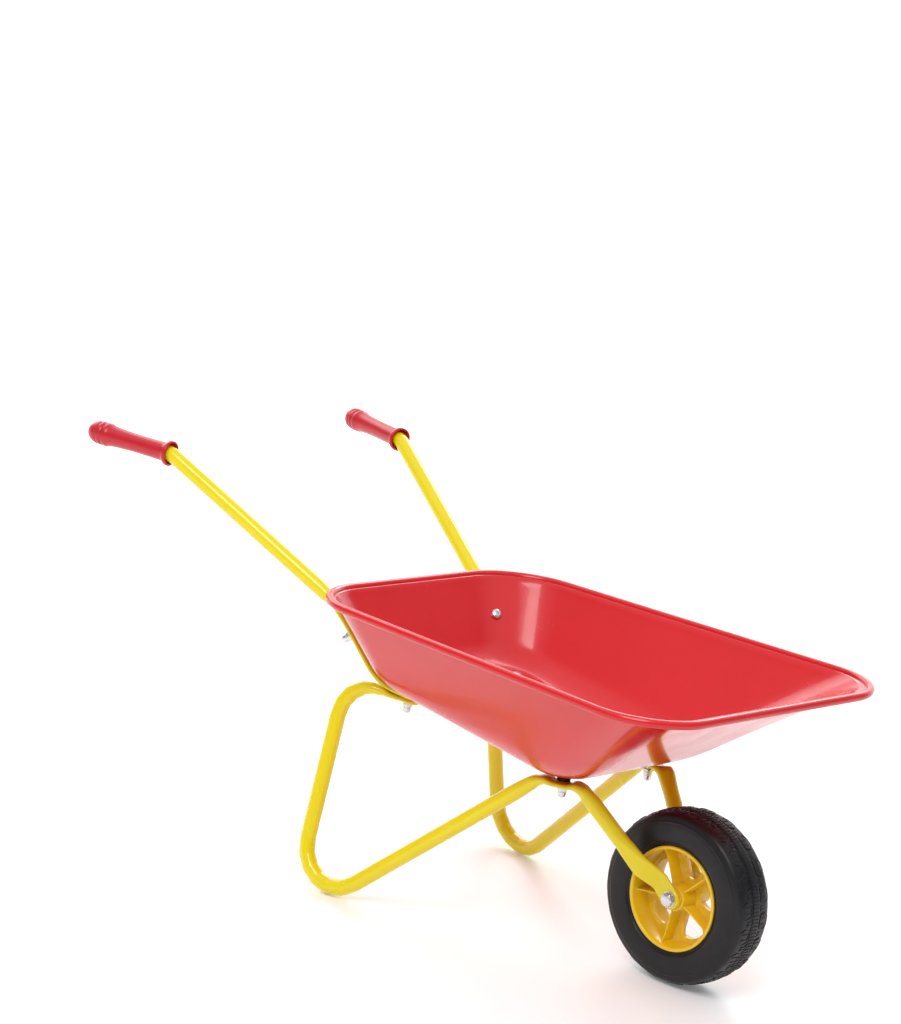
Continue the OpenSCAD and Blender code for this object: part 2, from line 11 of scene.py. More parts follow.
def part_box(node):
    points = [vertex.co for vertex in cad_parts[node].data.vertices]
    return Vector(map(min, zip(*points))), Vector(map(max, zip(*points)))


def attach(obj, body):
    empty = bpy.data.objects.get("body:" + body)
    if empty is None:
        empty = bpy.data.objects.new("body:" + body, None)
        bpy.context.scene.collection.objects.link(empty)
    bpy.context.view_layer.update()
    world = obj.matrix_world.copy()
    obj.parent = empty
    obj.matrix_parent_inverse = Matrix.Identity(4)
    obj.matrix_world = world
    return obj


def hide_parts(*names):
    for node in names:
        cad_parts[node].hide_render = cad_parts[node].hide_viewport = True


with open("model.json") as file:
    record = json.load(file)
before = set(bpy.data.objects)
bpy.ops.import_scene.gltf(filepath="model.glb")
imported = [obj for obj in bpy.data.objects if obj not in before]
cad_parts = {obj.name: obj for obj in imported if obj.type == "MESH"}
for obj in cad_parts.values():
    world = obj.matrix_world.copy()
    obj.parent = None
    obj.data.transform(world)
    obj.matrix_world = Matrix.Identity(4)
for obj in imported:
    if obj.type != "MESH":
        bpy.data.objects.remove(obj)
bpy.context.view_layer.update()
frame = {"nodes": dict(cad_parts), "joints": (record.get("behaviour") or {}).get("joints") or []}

MM = 0.001
hinge = frame["joints"][0]
AXLE = np.array(hinge["pos_m"]) / MM
wheel_r = AXLE[2]


# ---------- small vector helpers ----------

def vec(*xyz):
    return np.array(xyz, float)


def unit(v):
    return v / np.linalg.norm(v)


def lookup(x, table):
    return float(np.interp(x, [row[0] for row in table], [row[1] for row in table]))


def lookup_vector(x, table):
    keys = [row[0] for row in table]
    return np.array([np.interp(x, keys, [row[1][k] for row in table]) for k in range(3)])


def smooth_line(points, steps=6):
    """A Catmull-Rom curve through the points of an open line."""
    p = np.array(points, float)
    p = np.vstack([2 * p[0] - p[1], p, 2 * p[-1] - p[-2]])
    out = []
    for i in range(1, len(p) - 2):
        for t in np.arange(steps) / steps:
            a = 2 * p[i]
            b = (p[i + 1] - p[i - 1]) * t
            c = (2 * p[i - 1] - 5 * p[i] + 4 * p[i + 1] - p[i + 2]) * t * t
            d = (3 * p[i] - p[i - 1] - 3 * p[i + 1] + p[i + 2]) * t ** 3
            out.append((a + b + c + d) / 2)
    out.append(p[-2])
    return np.array(out)


def rounded_outline(points, cuts):
    """A closed outline with its corners cut to curves."""
    p = np.array(points, float)
    for _ in range(cuts):
        q = np.roll(p, -1, axis=0)
        p = np.stack([p * 0.8 + q * 0.2, p * 0.2 + q * 0.8], 1).reshape(-1, p.shape[1])
    return p


# ---------- mesh helpers: shapes are (points, faces), in millimetres ----------

def ring_faces(count, n, wrap=False):
    faces = []
    for j in range(count if wrap else count - 1):
        a, b = j * n, (j + 1) % count * n
        for i in range(n):
            k = (i + 1) % n
            faces.append((a + i, a + k, b + k, b + i))
    return faces


def from_rings(rings, caps=True, wrap=False):
    """A skin over closed rings with the same number of points each."""
    n = len(rings[0])
    points = np.vstack(rings)
    faces = ring_faces(len(rings), n, wrap)
    if caps and not wrap:
        for start, order in ((0, -1), ((len(rings) - 1) * n, 1)):
            middle = len(points)
            points = np.vstack([points, points[start:start + n].mean(0)])
            ring = range(start, start + n)
            for i in range(n):
                a, b = ring[i], ring[(i + 1) % n]
                faces.append((a, b, middle) if order == 1 else (b, a, middle))
    return points, faces


def turned(profile, n=96):
    """A solid turned about Z from a line of (radius, height); radius 0 closes an end."""
    turns = np.arange(n) * 2 * math.pi / n
    rings = [np.stack([r * np.cos(turns), r * np.sin(turns), np.full(n, z)], 1)
             for r, z in profile]
    closed = np.allclose(profile[0], profile[-1])
    if closed:
        return from_rings(rings[:-1], wrap=True)
    return from_rings(rings)


def hex_turned(flats, profile, n=96):
    """Like turned, but no ring is wider than a hexagon of that size over its flats."""
    turns = (np.arange(n) + 0.5) * 2 * math.pi / n
    off = (turns + math.pi / 6) % (math.pi / 3) - math.pi / 6
    hexagon = flats / 2 / np.cos(off)
    rings = []
    for r, z in profile:
        reach = np.minimum(hexagon, r)
        rings.append(np.stack([reach * np.cos(turns), reach * np.sin(turns), np.full(n, z)], 1))
    return from_rings(rings)


def moved(shape, matrix):
    points, faces = shape
    m = np.array(matrix)
    flip = np.linalg.det(m[:3, :3]) < 0
    if flip:
        faces = [tuple(reversed(f)) for f in faces]
    return points @ m[:3, :3].T + m[:3, 3], faces


def joined(shapes):
    points, faces, base = [], [], 0
    for p, f in shapes:
        points.append(p)
        faces += [tuple(i + base for i in face) for face in f]
        base += len(p)
    return np.vstack(points), faces


def place(p, direction, up):
    z = unit(np.array(direction, float))
    x = unit(np.cross(up, z))
    m = np.eye(4)
    m[:3, :3] = np.stack([x, np.cross(z, x), z], 1)
    m[:3, 3] = p
    return m


MIRROR = np.diag([1.0, -1.0, 1.0, 1.0])
ON_AXLE = np.array([[1, 0, 0, 0], [0, 0, 1, 0], [0, -1, 0, wheel_r], [0, 0, 0, 1]], float)


def piece(name, shape, material, node, body="frame", sharp=35):
    """One piece that replaces a CAD node; its shape has the floor under the axle as origin."""
    points, faces = shape
    mesh = bpy.data.meshes.new(name)
    mesh.from_pydata(((points + (AXLE[0], 0, 0)) * MM).tolist(), [], faces)
    mesh.validate()
    shell = bmesh.new()
    shell.from_mesh(mesh)
    bmesh.ops.remove_doubles(shell, verts=shell.verts, dist=1e-7)
    bmesh.ops.recalc_face_normals(shell, faces=shell.faces)
    shell.to_mesh(mesh)
    shell.free()
    mesh.update()
    mesh.materials.append(material)
    mesh.shade_smooth()
    mesh.set_sharp_from_angle(angle=math.radians(sharp))
    obj = bpy.data.objects.new(name, mesh)
    bpy.context.scene.collection.objects.link(obj)
    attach(obj, body)
    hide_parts(node)


# ---------- materials ----------

class Finish:
    """A node material that is built up from procedural layers."""

    def __init__(self, name, color, rough, metallic=0.0, coat=0.0, coat_rough=0.05, ior=1.5):
        self.material = bpy.data.materials.new(name)
        self.material.use_nodes = True
        self.tree = self.material.node_tree
        self.shader = self.tree.nodes["Principled BSDF"]
        self.shader.inputs["Metallic"].default_value = metallic
        self.shader.inputs["Coat Weight"].default_value = coat
        self.shader.inputs["Coat Roughness"].default_value = coat_rough
        self.shader.inputs["IOR"].default_value = ior
        self.coords = self.node("ShaderNodeTexCoord").outputs["Object"]
        self.color = (*color, 1)
        self.rough = rough
        self.normal = None

    def node(self, kind, **settings):
        n = self.tree.nodes.new(kind)
        for key, value in settings.items():
            setattr(n, key, value)
        return n

    def link(self, a, b):
        self.tree.links.new(a, b)

    def feed(self, value, socket):
        """Links another node's output, or sets a plain value."""
        if isinstance(value, bpy.types.NodeSocket):
            self.link(value, socket)
        else:
            socket.default_value = value

    def noise(self, scale, detail=2.0, stretch=(1, 1, 1), roughness=0.5):
        mapping = self.node("ShaderNodeMapping")
        mapping.inputs["Scale"].default_value = stretch
        self.link(self.coords, mapping.inputs["Vector"])
        n = self.node("ShaderNodeTexNoise")
        n.inputs["Scale"].default_value = scale
        n.inputs["Detail"].default_value = detail
        n.inputs["Roughness"].default_value = roughness
        self.link(mapping.outputs[0], n.inputs["Vector"])
        return n.outputs["Fac"]

    def ramp(self, source, low, high, a=0.0, b=1.0):
        n = self.node("ShaderNodeMapRange")
        for key, value in (("From Min", low), ("From Max", high), ("To Min", a), ("To Max", b)):
            n.inputs[key].default_value = value
        self.link(source, n.inputs["Value"])
        return n.outputs[0]

    def tint(self, mask, color, share=1.0):
        """Blends another colour in where the mask is high."""
        n = self.node("ShaderNodeMix", data_type="RGBA")
        self.link(self.ramp(mask, 0, 1, 0, share), n.inputs[0])
        self.feed(self.color, n.inputs[6])
        n.inputs[7].default_value = (*color, 1)
        self.color = n.outputs[2]

    def roughen(self, mask, amount):
        """Adds to the roughness where the mask is high."""
        scaled = self.node("ShaderNodeMath", operation="MULTIPLY")
        self.link(mask, scaled.inputs[0])
        scaled.inputs[1].default_value = amount
        total = self.node("ShaderNodeMath", operation="ADD")
        self.feed(self.rough, total.inputs[0])
        self.link(scaled.outputs[0], total.inputs[1])
        self.rough = total.outputs[0]

    def bump(self, height, strength, distance):
        n = self.node("ShaderNodeBump")
        n.inputs["Strength"].default_value = strength
        n.inputs["Distance"].default_value = distance
        self.link(height, n.inputs["Height"])
        if self.normal:
            self.link(self.normal, n.inputs["Normal"])
        self.normal = n.outputs[0]

    def edges(self, low, high):
        """High on convex edges."""
        n = self.node("ShaderNodeNewGeometry")
        return self.ramp(n.outputs["Pointiness"], low, high)

    def times(self, a, b):
        n = self.node("ShaderNodeMath", operation="MULTIPLY")
        self.link(a, n.inputs[0])
        self.link(b, n.inputs[1])
        return n.outputs[0]

    def done(self):
        self.feed(self.color, self.shader.inputs["Base Color"])
        self.feed(self.rough, self.shader.inputs["Roughness"])
        if self.normal:
            self.link(self.normal, self.shader.inputs["Normal"])
        return self.material


def enamel(name, color, deep, pale):
    """Glossy sprayed enamel: slight orange peel, faint unevenness, painted highlights on the convex
    edges, dust specks.
    """
    f = Finish(name, color, 0.17, coat=0.25, coat_rough=0.04, ior=1.47)
    f.tint(f.ramp(f.noise(9, 3), 0.35, 0.7), deep, 0.3)
    f.tint(f.ramp(f.noise(55, 4), 0.55, 0.8), deep, 0.18)
    # Paler colour on the convex edges, in patches: a painted highlight.
    edge_highlight = f.times(f.edges(0.53, 0.60), f.ramp(f.noise(120, 3), 0.35, 0.6))
    f.tint(edge_highlight, pale, 0.45)
    specks = f.ramp(f.noise(900, 1), 0.70, 0.76)
    f.tint(specks, pale, 0.10)
    f.roughen(f.ramp(f.noise(22, 5, roughness=0.65), 0.4, 0.75), 0.12)
    f.roughen(f.ramp(f.noise(60, 2, stretch=(1, 9, 1)), 0.6, 0.72), 0.025)
    f.bump(f.noise(420, 1), 0.10, 0.0002)
    f.bump(f.noise(40, 2), 0.05, 0.0012)
    return f.done()


def moulded(name, color, deep, pale):
    """Gloss moulded plastic: flow marks, fine texture and painted highlights on the convex edges."""
    f = Finish(name, color, 0.28, coat=0.25, coat_rough=0.12, ior=1.47)
    f.tint(f.ramp(f.noise(18, 3, stretch=(1, 0.4, 1)), 0.38, 0.72), deep, 0.4)
    # Paler colour on the convex edges, in patches: a painted highlight.
    f.tint(f.times(f.edges(0.53, 0.62), f.ramp(f.noise(200, 3), 0.35, 0.6)), pale, 0.3)
    f.roughen(f.ramp(f.noise(70, 5, roughness=0.7), 0.4, 0.7), 0.14)
    f.bump(f.noise(900, 2), 0.12, 0.00012)
    f.bump(f.noise(60, 2), 0.08, 0.0006)
    return f.done()


def tyre_black(name):
    """Blow-moulded black tyre: soft sheen, painted highlights on the convex edges, fine grain, dust
    in the low places.
    """
    f = Finish(name, (0.0045, 0.0045, 0.0058), 0.3, ior=1.42)
    f.tint(f.ramp(f.noise(25, 4), 0.4, 0.7), (0.009, 0.009, 0.012), 0.6)
    dust = f.times(f.edges(0.49, 0.44), f.ramp(f.noise(160, 4), 0.35, 0.65))
    f.tint(dust, (0.05, 0.048, 0.046), 0.25)
    # Lighter colour on the convex edges, in patches: a painted highlight along the shoulders.
    f.tint(f.times(f.edges(0.53, 0.60), f.ramp(f.noise(300, 2), 0.4, 0.6)), (0.03, 0.03, 0.035), 0.5)
    f.roughen(f.ramp(f.noise(90, 5, roughness=0.7), 0.35, 0.7), 0.18)
    f.bump(f.noise(1400, 2), 0.25, 0.00012)
    f.bump(f.noise(110, 3), 0.12, 0.0005)
    return f.done()


def zinc_plate(name):
    """Bright zinc: fine turning marks, faint blue and yellow passivate, dull patches."""
    f = Finish(name, (0.74, 0.75, 0.77), 0.2, metallic=1.0)
    f.tint(f.ramp(f.noise(130, 3), 0.4, 0.7), (0.66, 0.68, 0.74), 0.6)
    f.tint(f.ramp(f.noise(210, 2), 0.55, 0.75), (0.76, 0.70, 0.58), 0.35)
    f.roughen(f.ramp(f.noise(600, 4, roughness=0.7), 0.35, 0.7), 0.2)
    f.bump(f.noise(1500, 3, stretch=(1, 1, 6)), 0.12, 0.0001)
    return f.done()


def spacer_black(name):
    """Matt black plastic with a fine grain."""
    f = Finish(name, (0.02, 0.02, 0.022), 0.5)
    f.tint(f.ramp(f.noise(300, 3), 0.4, 0.7), (0.05, 0.05, 0.055), 0.5)
    f.roughen(f.ramp(f.noise(500, 3), 0.4, 0.7), 0.15)
    f.bump(f.noise(1500, 2), 0.2, 0.0001)
    return f.done()


red = enamel("red_enamel", (0.67, 0.008, 0.014), (0.56, 0.005, 0.010), (0.82, 0.16, 0.15))
yellow = enamel("yellow_enamel", (0.82, 0.68, 0.002), (0.76, 0.58, 0.002), (0.90, 0.84, 0.35))
grip_red = moulded("grip_red", (0.56, 0.007, 0.018), (0.46, 0.004, 0.014), (0.80, 0.26, 0.26))
rim_yellow = moulded("rim_yellow", (0.86, 0.58, 0.006), (0.80, 0.44, 0.004), (0.93, 0.82, 0.40))
rubber = tyre_black("tyre_black")
zinc = zinc_plate("zinc_plate")
black = spacer_black("spacer_black")
for node, obj in frame["nodes"].items():
    if "spacer" in node:
        finish = black
    elif node == "hub_washers":
        finish = rim_yellow
    else:
        finish = zinc
    obj.data.materials.clear()
    obj.data.materials.append(finish)


# ---------- tray: the design's own outline, with finer steps ----------

FLOOR_REAR_X, FLOOR_FRONT_X = -371, -103
FLOOR_REAR_HALF, FLOOR_FRONT_HALF = 120, 103
FLOOR_REAR_Z, FLOOR_FRONT_Z = 225.3, 182.8
FLOOR_REAR_R, FLOOR_FRONT_R = 46, 42
FLOOR_BLEND, WALL_BLEND = 31, 0.25
SHEET, ROLL_D, NOSE_HOLLOW = 1, 9, 5
RIM_REAR_R, RIM_FRONT_R = 77, 68
LEDGE, LEDGE_FRONT = 2, 9
WALL_AXIS_X = -200
tray_low, tray_high = [np.array(c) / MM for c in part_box("tray")]
rim_z = tray_high[2]
rim_front_x = tray_high[0] - AXLE[0]
rim_rear_x = tray_low[0] - AXLE[0]
RIM_FRONT_HALF = 205.5
RIM_REAR_HALF = 173
roll_r = ROLL_D / 2
roll_in_r = roll_r - SHEET
roll_in = roll_r + roll_in_r
top_z = rim_z - roll_r
floor_slope = (FLOOR_REAR_Z - FLOOR_FRONT_Z) / (FLOOR_FRONT_X - FLOOR_REAR_X)
CORNER_STEPS = 22
EDGE_STEPS = 14


def floor_z(x):
    return FLOOR_REAR_Z - floor_slope * (x - FLOOR_REAR_X)


def arc_at(a, b, c, r):
    u, v = unit(a - b), unit(c - b)
    half = math.acos(u @ v) / 2
    centre = b + unit(u + v) * r / math.sin(half)
    s = b + u * r / math.tan(half) - centre
    turns = (math.pi - 2 * half) * np.arange(CORNER_STEPS + 1) / CORNER_STEPS
    x = s[0] * np.cos(turns) - s[1] * np.sin(turns)
    y = s[0] * np.sin(turns) + s[1] * np.cos(turns)
    return centre + np.stack([x, y], 1)


def outline(x0, x1, w0, w1, r0, r1):
    p = [vec(x1, -w1), vec(x1, w1), vec(x0, w0), vec(x0, -w0)]
    r = [r1, r1, r0, r0]
    arcs = [arc_at(p[i - 1], p[i], p[(i + 1) % 4], r[i]) for i in range(4)]
    out = []
    for i, arc in enumerate(arcs):
        out.append(arc)
        start, end = arc[-1], arcs[(i + 1) % 4][0]
        t = np.arange(1, EDGE_STEPS)[:, None] / EDGE_STEPS
        out.append(start + (end - start) * t)
    return np.vstack(out)


def rim_ring(inset, front):
    return outline(rim_rear_x + inset, rim_front_x - front,
                   RIM_REAR_HALF - inset, RIM_FRONT_HALF - inset,
                   RIM_REAR_R + roll_in - inset, RIM_FRONT_R + roll_in - inset)


def floor_ring(off):
    return outline(FLOOR_REAR_X + off, FLOOR_FRONT_X - off,
                   FLOOR_REAR_HALF - off, FLOOR_FRONT_HALF - off,
                   FLOOR_REAR_R - off * 0.7, FLOOR_FRONT_R - off * 0.7)


def on_floor(ring, lift):
    return np.column_stack([ring, floor_z(ring[:, 0]) + lift])


def level(ring, z):
    return np.column_stack([ring, np.full(len(ring), z)])


wall_foot = on_floor(floor_ring(0), 0)
wall_top = level(rim_ring(roll_in + LEDGE, roll_in + LEDGE_FRONT), top_z - 1)


def wall_ring(t, inset):
    """The wall's outline at t of its way from the floor to the rim."""
    p = wall_foot + (wall_top - wall_foot) * t
    out = p - (WALL_AXIS_X, 0, 0)
    out[:, 2] = 0
    out /= np.linalg.norm(out, axis=1)[:, None]
    reach = np.maximum(0, (p[:, 0] - FLOOR_FRONT_X + 60) / (rim_front_x - FLOOR_FRONT_X))
    p[:, 0] -= NOSE_HOLLOW * 4 * t * (1 - t) * reach
    return p - out * inset


def blend_ring(s, inset, lift):
    """The curve that joins the floor to the walls, at s of its way."""
    a, b = on_floor(floor_ring(FLOOR_BLEND), lift), on_floor(floor_ring(inset), lift)
    c = wall_ring(WALL_BLEND, inset)
    return a * (1 - s) ** 2 + b * 2 * s * (1 - s) + c * s * s


def roll_ring(r, degrees):
    a = math.radians(degrees)
    inset = roll_r - r * math.cos(a)
    return level(rim_ring(inset, inset), top_z + r * math.sin(a))


def tray_shape():
    inner = SHEET * 1.15
    steps = np.linspace(0, 1, 15)
    walls = np.linspace(WALL_BLEND, 1, 16)[1:-1]
    ledge_in = rim_ring(roll_in + LEDGE + inner, roll_in + LEDGE_FRONT + inner)
    crest = rim_ring(roll_in + LEDGE + inner * 0.55, roll_in + LEDGE_FRONT + inner * 0.4)
    rings = [blend_ring(s, 0, 0) for s in steps]
    rings += [wall_ring(t, 0) for t in walls] + [wall_top]
    rings += [roll_ring(roll_in_r, a) for a in np.arange(180, -61, -12)]
    rings += [roll_ring(roll_r, a) for a in np.arange(-60, 181, 10)]
    rings += [level(crest, top_z), level(ledge_in, top_z - 0.45)]
    rings += [wall_ring(t, inner) for t in walls[::-1]]
    rings += [blend_ring(s, inner * s, SHEET) for s in steps[::-1]]
    return from_rings(rings)


# ---------- tubes: the design's own routes, with finer rings ----------

TUBE_D, FLAT_T = 17, 5
GAP = 0.1
BEND_STEPS = 6
SIDES = 40


def wall_point(t, y):
    ring = wall_ring(t, 0)
    start = 2 * (CORNER_STEPS + EDGE_STEPS)
    arc = ring[start:start + CORNER_STEPS + 1]
    arc = arc[np.argsort(arc[:, 1])]
    return vec(np.interp(y, arc[:, 1], arc[:, 0]), y, np.interp(y, arc[:, 1], arc[:, 2]))


def wall_normal(t, y):
    return unit(np.cross(wall_point(t + 0.02, y) - wall_point(t - 0.02, y),
                         wall_point(t, y + 12) - wall_point(t, y - 12)))


floor_dir = unit(vec(1, 0, -floor_slope))
floor_down = unit(vec(-floor_slope, 0, -1))
REAR_SCREW = (0.553, 107.6)
rear_screw, wall_out = wall_point(*REAR_SCREW), wall_normal(*REAR_SCREW)
mid_screw = vec(-333, 84, floor_z(-333))
front_screw, front_out = vec(-124, 69, floor_z(-124) + 0.9), vec(0, 0, -1)
WALL_SPACER_T, FLOOR_SPACER_T = 3.5, 3
wall_stack = WALL_SPACER_T + 3 * GAP
tail_dir = unit(vec(-floor_dir[0], 0.3, -floor_dir[2]))
handle_mouth = vec(-639, 180, 412)
GRIP_YAW, GRIP_RISE = math.radians(12), math.radians(2)
grip_dir = vec(-math.cos(GRIP_YAW) * math.cos(GRIP_RISE),
               math.sin(GRIP_YAW) * math.cos(GRIP_RISE), math.sin(GRIP_RISE))
GRIP_LEN, GRIP_D = 112, 21
HUB_HALF, HUB_WASHER_T, FORK_PLAY = 21, 1.5, 0.8
fork_in_y = HUB_HALF + HUB_WASHER_T + FORK_PLAY


def pressed(b):
    """Half the width of the tube where it is pressed to half its thickness b."""
    return b + math.pi / 2 * (TUBE_D / 2 - b)


flat_half = pressed(FLAT_T / 2)


class Route:
    """A tube's centre line: corners with each inner corner rounded to its own radius."""

    def __init__(self, corners, radii):
        points = [corners[0]]
        for k, r in enumerate(radii, 1):
            a, b, c = corners[k - 1], corners[k], corners[k + 1]
            u, v = unit(a - b), unit(c - b)
            half = math.acos(u @ v) / 2
            m = b + unit(u + v) * r / math.sin(half)
            s = b + u * r / math.tan(half) - m
            for t in np.arange(BEND_STEPS + 1) / BEND_STEPS:
                turn = (math.pi - 2 * half) * t
                points.append(m + s * math.cos(turn) - u * r * math.sin(turn))
        points.append(corners[-1])
        self.p = np.array(points)
        self.s = np.concatenate([[0], np.cumsum(np.linalg.norm(np.diff(self.p, axis=0), axis=1))])
        self.end = self.s[-1]

    def first(self, k):
        return self.s[1 + k * (BEND_STEPS + 1)]

    def last(self, k):
        return self.s[(k + 1) * (BEND_STEPS + 1)]

    def at(self, s, soft=0.0):
        spots = (s - soft, s, s + soft) if soft else (s,)
        return np.mean([[np.interp(x, self.s, self.p[:, k]) for k in range(3)] for x in spots], 0)

    def along(self, s):
        return unit(self.at(min(s + 2.5, self.end)) - self.at(max(s - 2.5, 0)))


def tube_ring(route, s, thick, ups, sinks, tips):
    """The tube's outline at s: round, or flattened along its up direction."""
    along, rough = route.along(s), lookup_vector(s, ups)
    up = unit(rough - along * (rough @ along))
    side = np.cross(up, along)
    soft = [lookup(s + d, thick) for d in (-3, -1, 1, 3)]
    b = sum(soft) / 8
    wide = min(pressed(b), lookup(s, tips))
    from_tip = min(s, wide)
    w = max(math.sqrt(max(wide ** 2 - (wide - from_tip) ** 2, 0)), b)
    centre = route.at(s, 1.2) - up * lookup(s, sinks)
    a = 2 * math.pi * (np.arange(SIDES) + 0.5) / SIDES
    across = b * np.cos(a) + np.sign(np.cos(a)) * (w - b)
    return centre + np.outer(across, side) + np.outer(b * np.sin(a), up)


def tube_shape(route, tables, last):
    places = np.concatenate([[0.15, 0.6, 1.2, 2, 3, 4.5, 6], np.arange(8, last - 12, 2.6),
                             last - np.array([11, 9, 8, 7, 6, 5, 4, 3, 2, 1.2, 0.6, 0.15])])
    return from_rings([tube_ring(route, s, *tables) for s in places])


def handle_shape():
    on_wall = rear_screw + wall_out * (wall_stack + GAP + FLAT_T / 2)
    under = mid_screw + floor_down * (GAP + FLAT_T / 2)
    wrap = vec(-368.6, 94.8, floor_z(-368.6) - 2.6)
    top = on_wall - unit(wrap - on_wall) * 12
    knee = vec(-427, 115.3, 294.5)
    inside = handle_mouth + grip_dir * (GRIP_LEN - 40)
    route = Route([under - tail_dir * flat_half, wrap, top, knee, handle_mouth, inside],
                  [50, 24, 26, 30])
    b2 = route.last(2)
    thick = [[route.first(1), FLAT_T], [route.last(1), FLAT_T * 1.5],
             [route.first(2), FLAT_T * 1.7], [b2, FLAT_T * 2.4],
             [b2 + 12, TUBE_D * 0.93], [b2 + 26, TUBE_D]]
    ups = [[flat_half, floor_down], [route.last(0), wall_out], [route.last(1), wall_out]]
    return tube_shape(route, (thick, ups, [[0, 0]], [[0, TUBE_D]]), route.end - 1)


def leg_shape():
    mid = mid_screw + floor_down * (4 * GAP + 1.5 * FLAT_T)
    pinch = front_screw + front_out * (3 * GAP + FLOOR_SPACER_T + FLAT_T / 2)
    fork_y = fork_in_y + FLAT_T / 2
    jog, eye, tip_r = vec(-17, fork_y, 104), vec(0, fork_y, wheel_r), 11
    end = eye + unit(eye - jog) * tip_r
    route = Route([mid - tail_dir * flat_half, mid + tail_dir * 9, vec(-400, 109.5, 245.4),
                   vec(-386.7, 169.7, -41.55), vec(-136.5, 82.5, 188), vec(-105.9, 70.4, 188),
                   vec(-34, 38.6, 115.5), jog, end], [8, 42, 42, 18, 15, 20, 8])
    a, b, flat = route.first(3), route.last(4), route.first(5)
    mid_s = a + np.linalg.norm(pinch - route.at(a))
    sink = (route.at(mid_s) - pinch) @ front_out
    f1 = route.first(1)
    thick = [[route.last(0), FLAT_T], [f1 + 10, FLAT_T * 1.24], [f1 + 24, TUBE_D * 0.66],
             [f1 + 38, TUBE_D * 0.84], [f1 + 56, TUBE_D], [a - 30, TUBE_D],
             [a - 12, TUBE_D * 0.85], [a, TUBE_D * 0.6], [mid_s - 8, FLAT_T], [mid_s + 8, FLAT_T],
             [b, TUBE_D * 0.6], [b + 6, TUBE_D * 0.75], [b + 18, TUBE_D * 0.92], [b + 26, TUBE_D],
             [flat - 34, TUBE_D], [flat - 18, TUBE_D * 0.75], [flat, FLAT_T * 1.2],
             [route.last(5), FLAT_T]]
    ups = [[route.last(0), -floor_down], [route.last(1), vec(-1, 0, 0)],
           [route.first(2), vec(-1, 0, 0)], [route.last(2), vec(0.65, 0, -0.71)],
           [route.last(3), front_out], [b, front_out],
           [flat - 34, vec(-0.3, 0.8, -0.3)], [flat - 18, vec(0, 1, 0)]]
    sinks = [[flat_half + 6.5, 0], [route.last(0), 1.6], [f1 + 10, 4.9], [f1 + 24, 4.5],
             [f1 + 38, 2], [f1 + 56, 0], [a - 8, 0], [mid_s - 8, sink], [mid_s + 8, sink],
             [b + 5, 0]]
    n = route.end
    tips = [[a - 8, 20], [mid_s - 8, 10], [mid_s + 8, 10], [b + 5, 20], [flat, 20],
            [route.last(5), flat_half], [route.last(6), tip_r], [n - tip_r, tip_r]]
    tips += [[n - d, math.sqrt(tip_r ** 2 - (tip_r - d) ** 2)]
             for d in (10, 8, 6, 5, 4, 3, 2, 1.2, 0.6, 0.15)]
    return tube_shape(route, (thick, ups, sinks, tips), n)


# ---------- grips ----------

def grip_shape():
    r, end, knob = GRIP_D / 2, GRIP_LEN, 13
    bore = TUBE_D / 2 + 0.15
    outside = smooth_line([
        (12.2, 0.0), (13.6, 0.7), (14, 2), (13.8, 3.8), (12.6, 5.6), (11.2, 7.6), (r, 10),
        (r - 0.3, 20), (r - 0.5, 36), (r - 0.4, 52), (r, 64), (r + 0.5, 74), (r + 1, 79),
        (knob - 0.9, 82.4), (knob - 0.1, 84.6), (knob, 86.6), (knob - 0.2, 88.4)], 5)
    groove = [(knob - 1.0, 89.4), (knob - 1.1, 90.2), (knob - 0.2, 91.2), (knob, 92.6),
              (knob, 93.8), (knob - 0.2, 95), (knob - 1.1, 96), (knob - 1.1, 96.8),
              (knob - 0.3, 97.8)]
    dome = smooth_line([(knob - 0.45, 99.5), (knob - 1.2, end - 9.5), (knob - 4.1, end - 4.3),
                        (knob - 8, end - 1), (knob - 11, end - 0.25), (0.2, end - 0.05)], 5)
    mouth = [(bore, 26), (bore, 11), (bore + 0.7, 8), (bore + 2.4, 3.4), (bore + 3.1, 1.2),
             (11.9, 0.25)]
    profile = [(0.0, 26)] + mouth + [tuple(p) for p in outside] + groove + [tuple(p) for p in dome]
    return moved(turned(profile + [(0, end)], 96), place(handle_mouth, grip_dir, (0, 0, 1)))


# ---------- nuts and the axle bolt's head ----------

def cap_nut_shape(flats, hex_h, h):
    """A domed nut: a hexagon hex_h high, h with its dome."""
    r, corner = flats / 2, flats / math.sqrt(3) * 1.01
    dome = [(r * 0.93 * math.cos(a) ** 0.55, hex_h + 1.1 + (h - hex_h - 1.1) * math.sin(a))
            for a in np.radians(np.arange(0, 90, 7.5))]
    return hex_turned(flats, [(r * 0.96, 0), (corner, 0.75), (corner, hex_h - 0.9),
                              (r * 1.02, hex_h - 0.1), (r * 0.97, hex_h + 0.05),
                              (r * 0.9, hex_h + 0.25), (r * 0.93, hex_h + 0.6)] + dome
                      + [(0.05, h)])


NUT_AF, NUT_HEX, NUT_H, WASHER_T = 10, 5, 12, 1.2
STACKS = {
    "rear_wall": (rear_screw, wall_out, wall_stack + 4 * GAP + FLAT_T),
    "floor_rear": (mid_screw, floor_down, 4 * GAP + 2 * FLAT_T),
    "floor_front": (front_screw, front_out, 4 * GAP + FLOOR_SPACER_T + FLAT_T),
}


def nut_pair(spot, out, stack):
    """A screw's cap nut on each side; stack is what the screw clamps under its washer."""
    nut = moved(cap_nut_shape(NUT_AF, NUT_HEX, NUT_H),
                place(spot + out * (stack + GAP + WASHER_T), out, (1, 0, 0)))
    return joined([nut, moved(nut, MIRROR)])


AXLE_AF = 13
head_y = fork_in_y + FLAT_T + GAP + WASHER_T


